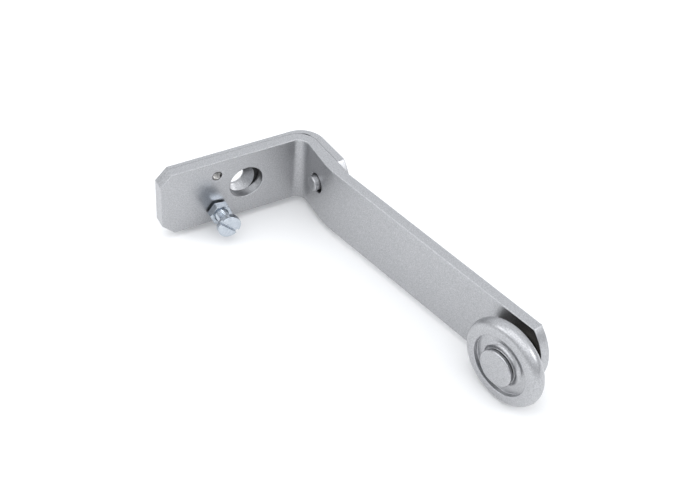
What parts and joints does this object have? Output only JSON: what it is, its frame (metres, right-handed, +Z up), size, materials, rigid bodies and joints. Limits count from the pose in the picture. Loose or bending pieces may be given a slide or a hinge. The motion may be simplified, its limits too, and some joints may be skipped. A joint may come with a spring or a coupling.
{
  "type": "door closer roller arm",
  "caption": "Bent roller arm of a door closer: cranked lever with ball-bearing roller on a backing plate, set by an adjusting screw with lock nut.",
  "frame": {"origin": "axis of the countersunk fixing bore, on the rear seat face of the mounting bush", "axes": "+X along the mounting arm towards the elbow, +Y to the rear into the closer, +Z up across the flat bars"},
  "size_m": [0.093, 0.152, 0.0354],
  "materials": {
    "silver_paint": "semi-gloss silver-grey metallic paint with a fine grain",
    "zinc_plate": "blue-bright zinc plating",
    "bearing_steel": "ground and polished bearing steel",
    "plain_steel": "plain drawn steel, lightly oiled"
  },
  "bodies": {
    "backing": {"backing_plate": "silver_paint", "mounting_bush": "silver_paint", "guide_pin": "silver_paint"},
    "lever": {"lever_arm": "silver_paint", "roller_axle": "silver_paint", "rivet_washer": "silver_paint", "spacer_collar": "plain_steel", "bearing_inner_ring": "bearing_steel"},
    "screw": {"adjusting_screw": "zinc_plate"},
    "nut": {"lock_nut": "zinc_plate"},
    "roller": {"roller_body": "silver_paint", "bearing_outer_ring": "bearing_steel", "bearing_shields": "plain_steel", "retaining_ring": "plain_steel"},
    "cage": {"bearing_balls": "bearing_steel", "bearing_cage": "plain_steel"}
  },
  "joints": [
    {"name": "lever_tilt", "type": "hinge", "parent": "backing", "child": "lever", "pos_m": [0.033, -0.0303, 0.0006], "axis": [0, 0, 1], "range_deg": [0, 3]},
    {"name": "screw_advance", "type": "slide", "parent": "lever", "child": "screw", "axis": [0, 1, 0], "range_m": [0, 0.0023]},
    {"name": "nut_turn", "type": "hinge", "parent": "lever", "child": "nut", "pos_m": [-0.0105, -0.0108, -0.0087], "axis": [0, -1, 0], "range_deg": [0, 360]},
    {"name": "roller_spin", "type": "hinge", "parent": "lever", "child": "roller", "pos_m": [0.05137, -0.13292, 0.0006], "axis": [-0.9744, -0.225, 0], "continuous": true},
    {"name": "cage_spin", "type": "hinge", "parent": "lever", "child": "cage", "pos_m": [0.05137, -0.13292, 0.0006], "axis": [-0.9744, -0.225, 0], "continuous": true}
  ],
  "couplings": [
    {"joint": "screw_advance", "follows": "lever_tilt", "m_per_rad": 0.0435},
    {"joint": "cage_spin", "follows": "roller_spin", "ratio": 0.4}
  ]
}
